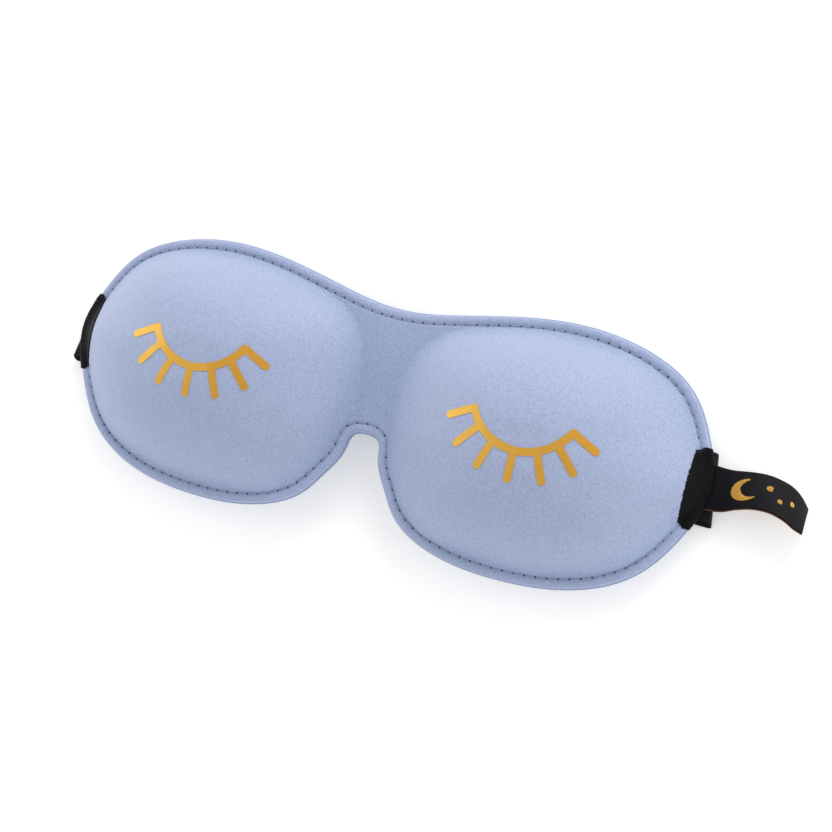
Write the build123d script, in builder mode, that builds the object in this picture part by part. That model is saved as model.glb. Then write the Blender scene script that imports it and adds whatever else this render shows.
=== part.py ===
from build123d import *
from math import atan2, degrees, hypot
import os

# Contoured sleep mask with two domed eye cups, an adjustable elastic strap folded
# up behind it, and a woven tab at one end.  Millimetres.
# The mask lies on its back with the cups up: +Z out of the front, +Y towards the
# forehead edge, +X towards the end with the tab.  The origin is on the surface it
# lies on, under the middle of the nose bridge.

os.makedirs("parts", exist_ok=True)

# ---------------------------------------------------------------- driving sizes
half_span = 117.2          # middle of the bridge to the end of the mask
top_at_bridge = 34.8       # forehead edge above the bridge
top_of_cup = 44.4          # highest point of the forehead edge
bottom_of_cup = 44.1       # lowest point of the cheek edge
notch_depth = 8.5          # nose notch, from the mask's centre line down to its top
rim_arc_radius = 839.0     # the rim bends back towards the temples on this arc

cover_thickness = 0.9      # front cloth
foam_thickness = 1.3       # foam where it is pressed flat in the rim
lining_thickness = 0.8     # back cloth
cup_foam_thickness = 4.0   # foam in the wall of a cup
edge_roll = 0.7            # rounding of the cover where it turns over the rim

cup_height = 25.0          # top of a cup above the rim
cup_profile_power = 2.4    # cup height falls off as 1 - radius to this power
cup_inset = 4.0            # foot of a cup in from the edge of the rim
bridge_flat = 8.0          # foot of a cup out from the middle of the bridge
cup_sink = 8.0             # the cup shapes reach this far under the rim, for cutting

fold_gap = 0.15            # each half stops this far from the fold line

strap_width = 23.0
strap_thickness = 1.2
strap_middle_y = 3.7       # the strap leaves the ends of the mask at this height
layer_gap = 0.2            # between two layers of strap
strap_overlap = 13.0       # strap sewn under each end of the mask
fold_reach = 2.4           # strap stands out this far past the end before it turns
z_fold_inner = 36.0        # the stored Z of strap lies between these two folds
z_fold_outer = half_span - 31.2
middle_reach = 22.0        # loose strap that crosses the fold line, each side
slope = 7.0                # length of strap that eases down from one level to the next

slider_x = 40.0
slider_length = 24.0
slider_bar = 3.0
slider_centre_bar = 4.0
slider_thickness = 1.8
slider_clearance = 0.3     # between the slider and every layer of strap
side_rail = 3.5
slot_clearance = 1.0       # slot longer than the strap is wide, each side

ring_x = half_span - 27.2
ring_length = 12.6
ring_bar = 2.6
ring_thickness = 2.4
weave_end = ring_x - 20.0  # loose strap from the slider ends here
loop_tail = 10.0           # short strap's loop ends this far in from the end of the mask
corner_radius = 0.6        # rounding of the slider's and the ring's edges

tack_length = 27.0
tack_drop = 2.0            # middle of the bar tack below the middle of the strap
tack_reach = 7.0           # bar tack on the front, in from the end of the mask
thread = 0.45              # thickness of the stitched thread
stitch_pitch = 4.0
stitch_length = 3.0
seam_inset = 3.0

lash_width = 2.6
print_thickness = 0.15

tab_width = 14.0
tab_thickness = 0.9
tab_middle_y = 3.8
tab_reach = 30.0           # from where it bends to its loose end
tab_gap = 0.35             # to the bar tack and the strap under it
motif_thickness = 0.15

# ---------------------------------------------------------------- worked out
wall = cover_thickness + foam_thickness + lining_thickness
end_drop = half_span**2 / (2 * rim_arc_radius)
end_gap = 1.6              # room inside the strap's turn under the ends
rim_back_at_end = 2 * strap_thickness + end_gap
rim_back = rim_back_at_end + end_drop
far = 60.0                 # past everything, for cutting
fold_radius = 0.625 * strap_thickness  # middle of the strap where it folds on itself


def rim_height(x, above_back=0.0):
    """Height of the rim's arc at x, measured from the back of the lining."""
    return rim_back - x**2 / (2 * rim_arc_radius) + above_back


# Outline of the right half, clockwise from the forehead edge over the bridge.
shoulder = top_at_bridge + 0.7 * (top_of_cup - top_at_bridge)
half_outline = [
    (0, top_at_bridge),
    (0.170 * half_span, top_at_bridge + 2.6),
    (0.358 * half_span, shoulder + 0.6),
    (0.546 * half_span, top_of_cup),
    (0.725 * half_span, 0.939 * top_of_cup),
    (0.879 * half_span, 0.736 * top_of_cup),
    (half_span - 3.9, 0.383 * top_of_cup),
    (half_span, 3.0),
    (half_span - 4.0, -0.272 * bottom_of_cup),
    (0.853 * half_span, -0.714 * bottom_of_cup),
    (0.700 * half_span, -0.925 * bottom_of_cup),
    (0.512 * half_span, -bottom_of_cup),
    (0.333 * half_span, -0.975 * bottom_of_cup),
    (0.222 * half_span, -0.889 * bottom_of_cup),
    (0.149 * half_span, -0.762 * bottom_of_cup),
    (0.096 * half_span, -0.567 * bottom_of_cup),
    (0.055 * half_span, -notch_depth - 7.0),
    (0, -notch_depth),
]

# Foot of the right cup, clockwise from the side next to the nose.
cup_centre_x = half_span / 2
cup_top = top_of_cup - cup_inset
cup_bottom = bottom_of_cup - cup_inset
cup_foot = [
    (bridge_flat, 2.0),
    (bridge_flat + 1.4, 0.417 * top_at_bridge),
    (bridge_flat + 5.8, 0.713 * top_at_bridge),
    (0.179 * half_span, 0.902 * top_at_bridge),
    (0.273 * half_span, top_at_bridge + 1.2),
    (0.410 * half_span, shoulder - 2.0),
    (0.555 * half_span, cup_top),
    (0.717 * half_span, 0.941 * cup_top),
    (0.857 * half_span, 0.728 * cup_top),
    (half_span - cup_inset - 3.8, 0.350 * top_of_cup),
    (half_span - cup_inset, 2.6),
    (half_span - cup_inset - 4.2, -0.261 * bottom_of_cup),
    (0.828 * half_span, -0.711 * cup_bottom),
    (0.683 * half_span, -0.920 * cup_bottom),
    (0.512 * half_span, -cup_bottom),
    (0.350 * half_span, -0.975 * cup_bottom),
    (0.247 * half_span, -0.830 * bottom_of_cup),
    (0.179 * half_span, -0.707 * bottom_of_cup),
    (0.126 * half_span, -0.517 * bottom_of_cup),
    (bridge_flat + 1.6, -notch_depth - 2.0),
]
cup_sections = [1.0, 0.96, 0.89, 0.79, 0.66, 0.5, 0.32, 0.14]  # size of each ring up the cup


# ---------------------------------------------------------------- shared shapes
with BuildLine() as edge_line:
    Spline(*half_outline, tangents=[(1, 0), (-1, 0)])
edge_wire = edge_line.wire()

with BuildSketch() as half_shape:
    with BuildLine():
        Spline(*half_outline, tangents=[(1, 0), (-1, 0)])
        Line(half_outline[-1], half_outline[0])
    make_face()
    with Locations((fold_gap / 2, 0)):
        Rectangle(fold_gap, 4 * far, mode=Mode.SUBTRACT)

foot_plane = Plane(
    origin=(cup_centre_x, 0, rim_height(cup_centre_x)),
    x_dir=(1, 0, -cup_centre_x / rim_arc_radius),
    z_dir=(cup_centre_x / rim_arc_radius, 0, 1),
)


def make_rim_band(low, high, grow=0.0):
    """The half outline cut to the layer between two heights above the rim's back."""
    with BuildPart() as band:
        with BuildSketch(Plane.XY.offset(-far)):
            add(half_shape.sketch)
            if grow:
                scale(by=(half_span + grow) / half_span)
        extrude(amount=2 * far)
        with BuildSketch(Plane.XZ.offset(-far)):
            with BuildLine():
                bottom = ThreePointArc(
                    (-1, rim_height(1, low)),
                    (half_span / 2, rim_height(half_span / 2, low)),
                    (half_span + 1, rim_height(half_span + 1, low)),
                )
                top = ThreePointArc(
                    (-1, rim_height(1, high)),
                    (half_span / 2, rim_height(half_span / 2, high)),
                    (half_span + 1, rim_height(half_span + 1, high)),
                )
                Line(bottom @ 0, top @ 0)
                Line(bottom @ 1, top @ 1)
            make_face()
        extrude(amount=2 * far, mode=Mode.INTERSECT)
    return band.part


def make_cup(inset, bury):
    """Solid under a cup's surface, its foot sunk below the rim, inset all round."""
    half_height = (top_of_cup + bottom_of_cup) / 2 - cup_inset
    shrink = 1 - inset / half_height
    levels = [(1.0, -bury)]
    for ratio in cup_sections:
        levels.append((ratio, (cup_height - inset) * (1 - ratio**cup_profile_power)))
    with BuildPart() as cup:
        for ratio, lift in levels:
            with BuildSketch(foot_plane.offset(lift + wall)):
                with BuildLine():
                    points = [((x - cup_centre_x) * ratio * shrink, y * ratio * shrink) for x, y in cup_foot]
                    Spline(*points, periodic=True)
                make_face()
        loft(ruled=False)
    return cup.part


def make_strip(points, radius=fold_radius, thickness=strap_thickness, width=strap_width, middle=strap_middle_y):
    """Flat strap, seen from its edge as a line through points, with rounded turns."""
    with BuildPart() as strip:
        with BuildSketch(Plane.XZ.offset(-middle)):
            with BuildLine():
                if len(points) == 2:
                    Line(*points)
                else:
                    FilletPolyline(*points, radius=radius)
            trace(line_width=thickness)
        extrude(amount=width / 2, both=True)
    return strip.part


def save(piece, name):
    """Name a finished piece and write its file."""
    piece.part.label = name
    export_step(piece.part, f"parts/{name}.step")


def save_mirrored(piece, name):
    """Write the same piece for the other side of the mask."""
    with BuildPart() as other:
        add(mirror(piece.part, about=Plane.YZ, mode=Mode.PRIVATE))
    save(other, name)


# ---------------------------------------------------------------- cup layers
bury = wall + cup_sink
cover_surface = make_cup(0.0, bury)
foam_surface = make_cup(cover_thickness, bury)
foam_back = make_cup(cover_thickness + cup_foam_thickness, bury)
hollow = make_cup(cover_thickness + cup_foam_thickness + lining_thickness, bury)
foam_low = lining_thickness
foam_high = lining_thickness + foam_thickness

# Front cover: cloth over the rim and the cup, rounded where it turns over the edge
with BuildPart() as cover_in_cup:
    add(cover_surface)
    add(make_rim_band(-far, foam_high), mode=Mode.SUBTRACT)

with BuildPart() as front_cover_right:
    add(make_rim_band(foam_high, wall))
    long_edges = edges().sort_by(SortBy.LENGTH)[-2:]
    fillet(long_edges.sort_by(Axis.Z)[-1], radius=edge_roll)
    add(cover_in_cup.part)
    add(foam_surface, mode=Mode.SUBTRACT)
save(front_cover_right, "front_cover_right")
save_mirrored(front_cover_right, "front_cover_left")

# Foam shell: pressed thin in the rim, thick in the wall of the cup
with BuildPart() as foam_in_cup:
    add(foam_surface)
    add(make_rim_band(-far, foam_low), mode=Mode.SUBTRACT)

with BuildPart() as foam_shell_right:
    add(make_rim_band(foam_low, foam_high))
    add(foam_in_cup.part)
    add(foam_back, mode=Mode.SUBTRACT)
save(foam_shell_right, "foam_shell_right")
save_mirrored(foam_shell_right, "foam_shell_left")

# Back lining: soft cloth against the face, following the hollow of the cup
with BuildPart() as lining_in_cup:
    add(foam_back)
    add(make_rim_band(-far, 0.0), mode=Mode.SUBTRACT)

with BuildPart() as back_lining_right:
    add(make_rim_band(0.0, foam_low))
    add(lining_in_cup.part)
    add(hollow, mode=Mode.SUBTRACT)
save(back_lining_right, "back_lining_right")
save_mirrored(back_lining_right, "back_lining_left")

# ---------------------------------------------------------------- lash print
lid_corner = (16.9, 7.8)
lid_low = -2.5
lash_roots = [(0, lid_low), (7.4, -0.9), (13.2, 2.9), lid_corner]
lash_tips = [(0, -11.9), (11.0, -10.0), (20.0, -4.7), (25.0, 3.8)]

with BuildPart() as lash_print_right:
    with BuildSketch(Plane.XY):
        with BuildLine():
            ThreePointArc(
                (cup_centre_x - lid_corner[0], lid_corner[1]),
                (cup_centre_x, lid_low),
                (cup_centre_x + lid_corner[0], lid_corner[1]),
            )
        trace(line_width=lash_width)
        for root, tip in zip(lash_roots, lash_tips):
            for side in (-1, 1):
                run = (side * (tip[0] - root[0]), tip[1] - root[1])
                middle = (cup_centre_x + side * (root[0] + tip[0]) / 2, (root[1] + tip[1]) / 2)
                with Locations(Location((*middle, 0), (0, 0, degrees(atan2(run[1], run[0]))))):
                    SlotCenterToCenter(hypot(*run), lash_width)
    extrude(amount=2 * far)
    add(make_cup(-print_thickness, bury), mode=Mode.INTERSECT)
    add(cover_surface, mode=Mode.SUBTRACT)
save(lash_print_right, "lash_print_right")
save_mirrored(lash_print_right, "lash_print_left")

# ---------------------------------------------------------------- seam stitching
tack_middle_y = strap_middle_y - tack_drop


def stitch_places():
    """Planes along the seam on the front and the back of the rim, one per stitch."""
    places = []
    count = int(edge_wire.length / stitch_pitch)
    for number in range(count):
        at = (number + 0.5) / count
        along = edge_wire.tangent_at(at)
        spot = edge_wire.position_at(at) + Vector(along.Y, -along.X, 0) * seam_inset
        under_tack = spot.X > cup_centre_x and abs(spot.Y - tack_middle_y) < tack_length / 2 + stitch_length / 2
        if under_tack or spot.X < stitch_length / 2 + fold_gap:
            continue
        normal = Vector(spot.X / rim_arc_radius, 0, 1)
        for above_back in (wall + thread / 4, -thread / 4):
            origin = (spot.X, spot.Y, rim_height(spot.X, above_back))
            places.append(Plane(origin=origin, x_dir=along, z_dir=normal))
    return places


with BuildPart() as edge_stitching_right:
    with Locations(*stitch_places()):
        Box(stitch_length, thread, thread / 2)
save(edge_stitching_right, "edge_stitching_right")
save_mirrored(edge_stitching_right, "edge_stitching_left")

# ---------------------------------------------------------------- bar tacks
# Close zigzag thread over the end of the mask; its lower row holds the strap.
with BuildPart() as bar_tack_right:
    add(make_rim_band(0.0, wall + thread, grow=thread))
    with Locations((half_span, tack_middle_y, 0)):
        Box(2 * tack_reach, tack_length, 2 * far, mode=Mode.INTERSECT)
    add(make_rim_band(-far, wall), mode=Mode.SUBTRACT)
    add(cover_surface, mode=Mode.SUBTRACT)
save(bar_tack_right, "bar_tack_right")
save_mirrored(bar_tack_right, "bar_tack_left")

# ---------------------------------------------------------------- strap
on_floor = strap_thickness / 2
layer = strap_thickness + layer_gap
turn = half_span + fold_reach
sewn_end = half_span - strap_overlap
sewn_height = rim_height(sewn_end) - strap_thickness / 2 - layer_gap
top_of_turn = rim_back_at_end - strap_thickness / 2
fold_rise = strap_thickness + 3 * layer_gap
second_fold = on_floor + fold_rise
third_fold = second_fold + fold_rise

left_route = [
    (-sewn_end, sewn_height),
    (-half_span, top_of_turn),
    (-turn, top_of_turn),
    (-turn, on_floor),
    (-z_fold_inner, on_floor),
    (-z_fold_inner, second_fold),
    (-z_fold_outer, second_fold),
    (-z_fold_outer, third_fold),
    (-middle_reach - 2 * slope + 4, third_fold),
    (-middle_reach - 3, on_floor),
    (-middle_reach - fold_gap, on_floor),
]
with BuildPart() as strap_left:
    add(make_strip(left_route))
save(strap_left, "strap_left")

with BuildPart() as strap_middle:
    add(make_strip([(-middle_reach, on_floor), (middle_reach, on_floor)]))
save(strap_middle, "strap_middle")

# Ring: a flat frame that both straps loop round
ring_left_bar = ring_x - (ring_length - ring_bar) / 2
ring_right_bar = ring_x + (ring_length - ring_bar) / 2
ring_low = strap_thickness + layer_gap
ring_high = ring_low + ring_thickness
over_ring = ring_high + layer_gap + strap_thickness / 2
round_bar = ring_bar / 2 + layer_gap + strap_thickness / 2
frame_width = strap_width + 2 * slot_clearance + 2 * side_rail
slot_width = strap_width + 2 * slot_clearance

with BuildPart() as strap_ring:
    with BuildSketch(Plane.XY.offset(ring_low)):
        with Locations((ring_x, strap_middle_y)):
            RectangleRounded(ring_length, frame_width, 2.5)
            RectangleRounded(ring_length - 2 * ring_bar, slot_width, 1.0, mode=Mode.SUBTRACT)
    extrude(amount=ring_thickness)
    fillet(faces().filter_by(Axis.Z).edges(), radius=corner_radius)
save(strap_ring, "strap_ring")

# Slider: three bars in a flat frame, the strap woven through its two slots
slider_low = ring_low + strap_thickness + slider_clearance
slider_high = slider_low + slider_thickness
under_bar = slider_low - slider_clearance - strap_thickness / 2
over_bar = slider_high + slider_clearance + strap_thickness / 2
over_loop = over_bar + layer
round_centre = slider_centre_bar / 2 + slider_clearance + strap_thickness / 2
slot_length = (slider_length - 2 * slider_bar - slider_centre_bar) / 2
slot_offset = (slider_centre_bar + slot_length) / 2

with BuildPart() as slider:
    with BuildSketch(Plane.XY.offset(slider_low)):
        with Locations((slider_x, strap_middle_y)):
            RectangleRounded(slider_length, frame_width, 3.0)
        with Locations((slider_x - slot_offset, strap_middle_y), (slider_x + slot_offset, strap_middle_y)):
            RectangleRounded(slot_length, slot_width, 1.0, mode=Mode.SUBTRACT)
    extrude(amount=slider_thickness)
    fillet(faces().filter_by(Axis.Z).edges(), radius=corner_radius)
save(slider, "slider")

# Running strap: woven under the outer bars and over the centre bar
hump = slider_centre_bar
hump_foot = hump + 3.2     # the strap is down again before it reaches an outer bar
with BuildPart() as strap_weave:
    route = [
        (middle_reach, on_floor),
        (middle_reach + 2, on_floor),
        (slider_x - slider_length / 2, under_bar),
        (slider_x - hump_foot, under_bar),
        (slider_x - hump, over_loop),
        (slider_x + hump, over_loop),
        (slider_x + hump_foot, under_bar),
        (weave_end, under_bar),
    ]
    add(make_strip(route))
save(strap_weave, "strap_weave")

with BuildPart() as strap_ring_turn:
    route = [
        (weave_end, under_bar),
        (weave_end + 3, under_bar),
        (ring_left_bar - 4, over_ring),
        (ring_left_bar + round_bar, over_ring),
        (ring_left_bar + round_bar, on_floor),
        (weave_end, on_floor),
    ]
    add(make_strip(route))
save(strap_ring_turn, "strap_ring_turn")

loop_start = slider_x + round_centre + 4
with BuildPart() as strap_return:
    add(make_strip([(weave_end, on_floor), (loop_start, on_floor)]))
save(strap_return, "strap_return")

with BuildPart() as strap_slider_loop:
    route = [
        (loop_start, on_floor),
        (loop_start - 2, on_floor),
        (slider_x + slider_centre_bar / 2, under_bar),
        (slider_x - round_centre, under_bar),
        (slider_x - round_centre, over_bar),
        (slider_x + round_centre, over_bar),
        (slider_x + round_centre, under_bar + strap_thickness / 2 + 2 * slider_clearance),
    ]
    add(make_strip(route))
save(strap_slider_loop, "strap_slider_loop")

# Short strap: sewn under the right end, looped round the ring and sewn to itself
tail = half_span - loop_tail
flat_end = 5.5             # length of the loop's end that is sewn down
with BuildPart() as strap_right:
    route = [
        (sewn_end, sewn_height),
        (half_span, top_of_turn),
        (turn, top_of_turn),
        (turn, on_floor),
        (ring_right_bar - round_bar, on_floor),
        (ring_right_bar - round_bar, over_ring),
        (ring_right_bar + ring_bar + 1.0, over_ring),
        (tail - flat_end, on_floor + layer),
        (tail, on_floor + layer),
    ]
    add(make_strip(route))
save(strap_right, "strap_right")

# Stitching that closes the loop round the ring
with BuildPart() as ring_loop_stitching:
    row_z = on_floor + layer + strap_thickness / 2
    with Locations((tail - flat_end / 4, strap_middle_y, row_z), (tail - 0.6 * flat_end, strap_middle_y, row_z)):
        with GridLocations(0, stitch_pitch / 2, 1, 11):
            Box(thread, stitch_pitch / 2 - thread, thread / 2)
save(ring_loop_stitching, "ring_loop_stitching")

# ---------------------------------------------------------------- woven tab
tab_root = half_span + thread + tab_gap
tab_bend = turn + strap_thickness / 2 + tab_gap + tab_thickness / 2
tab_height = rim_back_at_end + tab_gap + tab_thickness / 2
tab_split = 0.8            # the sewn end stops short of the bend by this much

with BuildPart() as tab_root_end:
    ends = [(tab_root, tab_height), (tab_bend - tab_split, tab_height)]
    add(make_strip(ends, thickness=tab_thickness, width=tab_width, middle=tab_middle_y))
save(tab_root_end, "tab_root")

tab_curve = 12.0
tab_route = [
    (tab_bend, tab_height),
    (tab_bend + 0.35 * tab_reach, tab_height - 0.3),
    (tab_bend + 0.7 * tab_reach, tab_height - 1.3),
    (tab_bend + tab_reach, tab_height - 3.2),
]
with BuildPart() as woven_tab:
    add(make_strip(tab_route, tab_curve, tab_thickness, tab_width, tab_middle_y))
save(woven_tab, "woven_tab")

# A crescent and three dots, woven proud of the tab's front
raised_route = [(x, z + motif_thickness) for x, z in tab_route]
with BuildPart() as tab_motif:
    add(make_strip(raised_route, tab_curve, tab_thickness, tab_width, tab_middle_y))
    with BuildSketch(Plane.XY):
        with Locations((tab_bend + 0.4 * tab_reach, tab_middle_y)):
            Circle(4.2)
        with Locations((tab_bend + 0.4 * tab_reach + 1.9, tab_middle_y + 0.6)):
            Circle(3.5, mode=Mode.SUBTRACT)
        for along, across, radius in ((0.56, 1.6, 0.9), (0.66, -1.8, 0.7), (0.78, 0.8, 0.8)):
            with Locations((tab_bend + along * tab_reach, tab_middle_y + across)):
                Circle(radius)
    extrude(amount=far, mode=Mode.INTERSECT)
    add(woven_tab.part, mode=Mode.SUBTRACT)
save(tab_motif, "tab_motif")

print("tab bends at", tab_bend, tab_height, "and the rim's back is", rim_back, "high over the bridge")
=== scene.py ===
# %% [markdown]
# A contoured sleep mask: two domed eye cups pressed from laminated foam, a stitched
# rim, printed lashes, and an elastic strap folded up behind. The CAD frame gives every
# piece its size and place, so the first step is to load it and keep its box.

# %% Load the frame
import math
import random

import bmesh
import bpy
from mathutils import Matrix, Vector, noise
from mathutils.bvhtree import BVHTree
from mathutils.kdtree import KDTree


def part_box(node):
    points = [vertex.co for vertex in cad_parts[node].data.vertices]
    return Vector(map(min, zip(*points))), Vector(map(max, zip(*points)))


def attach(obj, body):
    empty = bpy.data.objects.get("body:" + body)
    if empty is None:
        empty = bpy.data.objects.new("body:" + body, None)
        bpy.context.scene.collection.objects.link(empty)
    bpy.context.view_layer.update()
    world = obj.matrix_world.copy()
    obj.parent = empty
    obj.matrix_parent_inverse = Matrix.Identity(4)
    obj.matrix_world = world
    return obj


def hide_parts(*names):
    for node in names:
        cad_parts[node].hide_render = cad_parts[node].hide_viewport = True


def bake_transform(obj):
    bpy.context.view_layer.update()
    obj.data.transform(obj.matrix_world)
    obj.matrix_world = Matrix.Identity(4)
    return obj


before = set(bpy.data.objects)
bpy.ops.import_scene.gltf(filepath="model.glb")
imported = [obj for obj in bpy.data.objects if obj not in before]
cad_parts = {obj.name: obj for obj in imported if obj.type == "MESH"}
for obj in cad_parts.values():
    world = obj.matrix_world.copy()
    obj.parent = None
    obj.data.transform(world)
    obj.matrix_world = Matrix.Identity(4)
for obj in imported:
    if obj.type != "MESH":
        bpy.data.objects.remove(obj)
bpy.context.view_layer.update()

MM = 0.001

# %% [markdown]
# The mask is seen from almost straight above, with the camera a little towards the tab
# end and rolled so that the mask runs downhill. A camera is easiest to place from what
# it looks at: a target, a direction as azimuth and elevation, a distance, and a roll
# about the line of sight.

# %% Camera
def place_camera(target, azimuth, elevation, distance, roll, lens):
    """Aim a camera; azimuth 0 looks along +Y with +X to the right."""
    az, el = math.radians(azimuth), math.radians(elevation)
    back = Vector((math.sin(az) * math.cos(el), -math.cos(az) * math.cos(el), math.sin(el)))
    level = Vector((math.cos(az), math.sin(az), 0))
    raised = back.cross(level)
    right = Matrix.Rotation(math.radians(roll), 3, back) @ level
    up = Matrix.Rotation(math.radians(roll), 3, back) @ raised
    turn = Matrix((right, up, back)).transposed()
    data = bpy.data.cameras.new("view_camera")
    data.lens = lens
    data.sensor_width = 36.0
    camera = bpy.data.objects.new("view_camera", data)
    camera.matrix_world = Matrix.Translation(target + back * distance) @ turn.to_4x4()
    bpy.context.scene.collection.objects.link(camera)
    bpy.context.scene.camera = camera
    return camera


camera = place_camera(Vector((0.0155, 0.0013, 0.0137)), 82.5, 71.5, 0.745, -67.5, 95.3)
print("camera at", [round(v, 3) for v in camera.matrix_world.translation])

# %% [markdown]
# A pale floor that goes far past the picture, a broad soft key light from the forehead
# side, a weaker light past each end, and a world that is brighter low down, like a
# light tent. The cups are read from their shading, so the key is large but clearly on
# one side, and the rest keeps the shadows pale.

# %% Floor and light
def plain_material(name, colour, roughness, glow):
    """A material with one colour and a little light of its own, for the floor."""
    material = bpy.data.materials.new(name)
    material.use_nodes = True
    shader = material.node_tree.nodes["Principled BSDF"]
    shader.inputs["Base Color"].default_value = (*colour, 1)
    shader.inputs["Roughness"].default_value = roughness
    shader.inputs["Emission Color"].default_value = (1, 1, 1, 1)
    shader.inputs["Emission Strength"].default_value = glow
    return material


bpy.ops.mesh.primitive_plane_add(size=6.0, location=(0, 0, -0.0002))
floor = bpy.context.object
floor.name = "floor"
floor.data.materials.append(plain_material("floor_paper", (0.90, 0.90, 0.895), 0.8, 0.36))


def add_softbox(name, place, size, power, colour=(1, 1, 1)):
    """A square area light aimed at the middle of the mask."""
    light = bpy.data.lights.new(name, "AREA")
    light.shape = "SQUARE"
    light.size = size
    light.energy = power
    light.color = colour
    lamp = bpy.data.objects.new(name, light)
    lamp.location = place
    aim = Vector((0, 0, 0.02)) - Vector(place)
    lamp.rotation_euler = aim.to_track_quat("-Z", "Y").to_euler()
    bpy.context.scene.collection.objects.link(lamp)
    return lamp


add_softbox("key_light", (0.20, 1.40, 0.80), 0.8, 8.5, (1.0, 0.99, 0.97))
for name, side in (("side_light_right", 1), ("side_light_left", -1)):
    add_softbox(name, (side * 1.3, 0.15, 0.55), 0.8, 3.2)


def light_tent(overhead, low_down):
    """A world that is brighter towards the horizon than overhead, like a light tent."""
    world = bpy.data.worlds.new("light_tent")
    world.use_nodes = True
    tree = world.node_tree
    direction = tree.nodes.new("ShaderNodeTexCoord").outputs["Generated"]
    parts = tree.nodes.new("ShaderNodeSeparateXYZ")
    level = tree.nodes.new("ShaderNodeMapRange")
    level.inputs["To Min"].default_value = low_down
    level.inputs["To Max"].default_value = overhead
    tree.links.new(direction, parts.inputs[0])
    tree.links.new(parts.outputs["Z"], level.inputs["Value"])
    tree.links.new(level.outputs["Result"], tree.nodes["Background"].inputs["Strength"])
    tree.nodes["Background"].inputs["Color"].default_value = (1, 1, 1, 1)
    bpy.context.scene.world = world


light_tent(overhead=0.42, low_down=1.16)
bpy.context.scene.view_settings.view_transform = "Standard"

# %% [markdown]
# Several finishes share the same few effects: a knit's loops, a woven band's ribs, the
# twist of a thread, and the slow unevenness that all cloth has. Each is made once as a
# shader node group with named inputs, and each material places it with its own values.

# %% Helpers for shader nodes
def new_group(name, inputs, outputs):
    """An empty shader node group with its sockets; returns the group and its two end nodes."""
    group = bpy.data.node_groups.new(name, "ShaderNodeTree")
    for title, kind, value in inputs:
        socket = group.interface.new_socket(title, in_out="INPUT", socket_type=kind)
        if value is not None:
            socket.default_value = value
    for title, kind in outputs:
        group.interface.new_socket(title, in_out="OUTPUT", socket_type=kind)
    return group, group.nodes.new("NodeGroupInput"), group.nodes.new("NodeGroupOutput")


def feed(tree, socket, value):
    """Link a socket to another, or give it a plain value."""
    if isinstance(value, bpy.types.NodeSocket):
        tree.links.new(value, socket)
    else:
        socket.default_value = value


def maths(tree, operation, first, second=0.0, third=None):
    """A Math node; returns its result socket."""
    node = tree.nodes.new("ShaderNodeMath")
    node.operation = operation
    feed(tree, node.inputs[0], first)
    feed(tree, node.inputs[1], second)
    if third is not None:
        feed(tree, node.inputs[2], third)
    return node.outputs[0]


def noise_value(tree, place, scale, detail=2.0):
    """A Noise texture's value, 0 to 1."""
    node = tree.nodes.new("ShaderNodeTexNoise")
    feed(tree, node.inputs["Vector"], place)
    feed(tree, node.inputs["Scale"], scale)
    node.inputs["Detail"].default_value = detail
    return node.outputs["Fac"]


def split_place(tree, place):
    """The X, Y and Z of a vector socket."""
    node = tree.nodes.new("ShaderNodeSeparateXYZ")
    feed(tree, node.inputs[0], place)
    return node.outputs[0], node.outputs[1], node.outputs[2]


def mix_colour(tree, share, first, second):
    """A Mix node for two colours."""
    node = tree.nodes.new("ShaderNodeMix")
    node.data_type = "RGBA"
    feed(tree, node.inputs["Factor"], share)
    feed(tree, node.inputs["A"], (*first, 1) if isinstance(first, tuple) else first)
    feed(tree, node.inputs["B"], (*second, 1) if isinstance(second, tuple) else second)
    return node.outputs["Result"]


# %% Shared effects
def wave_of(tree, value, pitch):
    """A rounded ridge, 0 to 1, once every pitch along a value."""
    turns = maths(tree, "DIVIDE", value, pitch)
    return maths(tree, "ABSOLUTE", maths(tree, "SINE", maths(tree, "MULTIPLY", turns, math.pi)))


def build_knit():
    """Loops of a fine knit: columns with a slanted ridge on each side of them."""
    group, start, end = new_group(
        "fine_knit",
        [("Place", "NodeSocketVector", None), ("Pitch", "NodeSocketFloat", 0.5 * MM)],
        [("Height", "NodeSocketFloat"), ("Shade", "NodeSocketFloat")],
    )
    x, y, _ = split_place(group, start.outputs["Place"])
    column = wave_of(group, x, start.outputs["Pitch"])
    slant = maths(group, "MULTIPLY_ADD", column, maths(group, "MULTIPLY", start.outputs["Pitch"], 0.5), y)
    loops = wave_of(group, slant, start.outputs["Pitch"])
    height = maths(group, "MULTIPLY", column, maths(group, "MULTIPLY_ADD", loops, 0.6, 0.4))
    fuzz_scale = maths(group, "DIVIDE", 0.7, start.outputs["Pitch"])
    fuzz = noise_value(group, start.outputs["Place"], fuzz_scale, 3.0)
    group.links.new(maths(group, "MULTIPLY_ADD", fuzz, 0.8, height), end.inputs["Height"])
    group.links.new(maths(group, "MULTIPLY_ADD", height, 0.20, fuzz), end.inputs["Shade"])
    return group


def build_mottle():
    """Slow unevenness at two sizes, 0 to 1."""
    group, start, end = new_group(
        "mottle",
        [("Place", "NodeSocketVector", None), ("Scale", "NodeSocketFloat", 60.0)],
        [("Mask", "NodeSocketFloat")],
    )
    broad = noise_value(group, start.outputs["Place"], start.outputs["Scale"])
    fine_scale = maths(group, "MULTIPLY", start.outputs["Scale"], 7.0)
    fine = noise_value(group, start.outputs["Place"], fine_scale)
    mask = maths(group, "MULTIPLY_ADD", fine, 0.4, maths(group, "MULTIPLY", broad, 0.6))
    group.links.new(mask, end.inputs["Mask"])
    return group


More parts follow.
